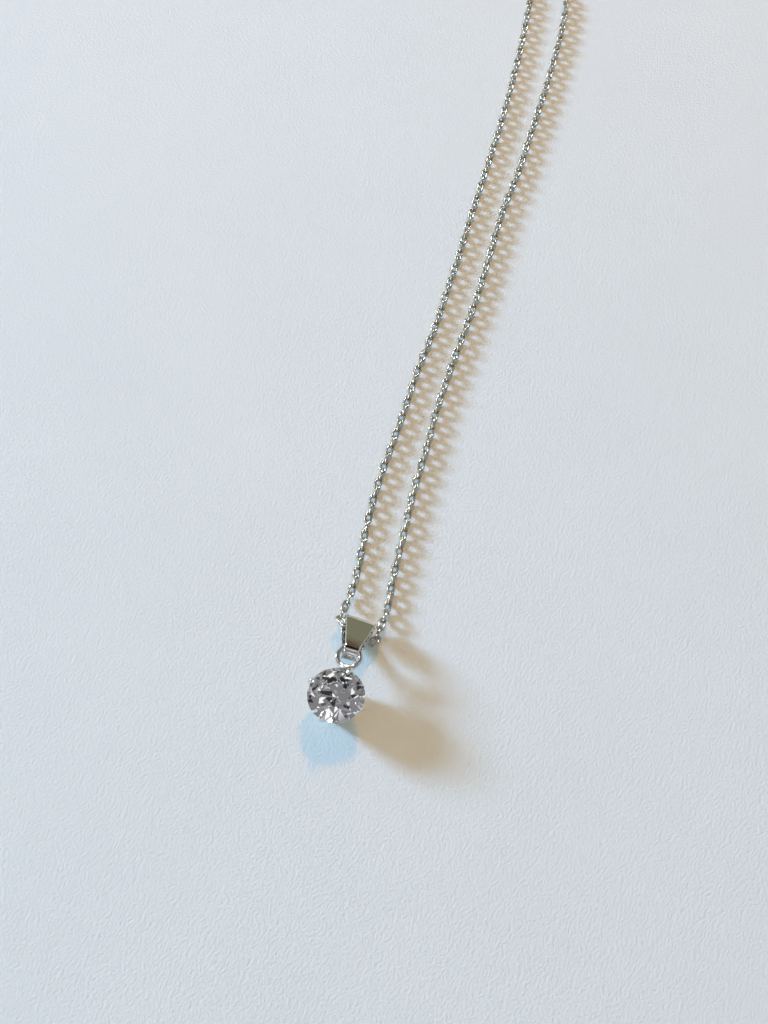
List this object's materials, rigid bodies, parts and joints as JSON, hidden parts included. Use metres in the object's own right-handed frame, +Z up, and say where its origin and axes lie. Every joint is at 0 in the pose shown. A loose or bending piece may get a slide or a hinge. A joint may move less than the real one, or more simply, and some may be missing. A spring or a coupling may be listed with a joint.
{
  "type": "pendant necklace",
  "caption": "Fine pendant necklace: a round clear stone in a prong basket head on a tapered bail, hung on a slim trace chain with a spring ring clasp.",
  "frame": {"origin": "on the surface the necklace lies on, under the middle of the pendant (head and bail)", "axes": "+Z up, out of the stone's table; +Y from the stone towards the bail and along the chain; X across the pendant"},
  "size_m": [0.0108, 0.1515, 0.0041],
  "materials": {
    "polished_silver": "rhodium plated silver, high polish",
    "chain_silver": "polished silver wire, softly worn",
    "clear_stone": "clear faceted stone, polished",
    "spring_steel": "spring wire"
  },
  "bodies": {
    "chain": {"chain_bend": "chain_silver", "chain_left": "chain_silver", "chain_right": "chain_silver", "chain_coil": "chain_silver", "chain_left_tail": "chain_silver", "chain_right_tail": "chain_silver"},
    "bail": {"bail": "polished_silver"},
    "head": {"stone": "clear_stone", "base_ring": "polished_silver", "gallery_ring": "polished_silver", "prong_east": "polished_silver", "prong_north": "polished_silver", "prong_west": "polished_silver", "prong_south": "polished_silver", "head_loop": "polished_silver"},
    "jump_ring": {"jump_ring": "polished_silver"},
    "clasp": {"clasp_body": "polished_silver", "clasp_eye": "polished_silver", "clasp_spring": "spring_steel"},
    "clasp_bolt": {"clasp_bolt": "polished_silver", "clasp_knob": "polished_silver"},
    "end_ring": {"end_ring": "polished_silver"}
  },
  "joints": [
    {"name": "bail_on_chain", "type": "hinge", "parent": "chain", "child": "bail", "pos_m": [0, 0.005, 0.00162], "axis": [-0.9848, 0.0673, 0.1601], "range_deg": [-110, 120]},
    {"name": "head_on_bail", "type": "hinge", "parent": "bail", "child": "head", "pos_m": [0, 0.0027, 0.0026], "axis": [-1, 0, 0], "range_deg": [-12, 55]},
    {"name": "jump_ring_on_chain", "type": "hinge", "parent": "chain", "child": "jump_ring", "pos_m": [-0.0026, 0.13705, 0.00098], "axis": [0, 0, 1], "range_deg": [-20, 20]},
    {"name": "clasp_on_jump_ring", "type": "hinge", "parent": "jump_ring", "child": "clasp", "pos_m": [-0.0026, 0.13853, 0.00056], "axis": [0, 0, 1], "range_deg": [-12, 40]},
    {"name": "bolt_in_clasp", "type": "hinge", "parent": "clasp", "child": "clasp_bolt", "pos_m": [-0.0026, 0.14231, 0.00056], "axis": [0, 0, -1], "range_deg": [0, 42], "stiffness_Nm_per_rad": 0.0003, "springref_deg": -17.19},
    {"name": "end_ring_on_chain", "type": "hinge", "parent": "chain", "child": "end_ring", "pos_m": [0.00273, 0.13814, 0.00026], "axis": [0.7317, -0.6816, 0], "range_deg": [0, 120]}
  ]
}
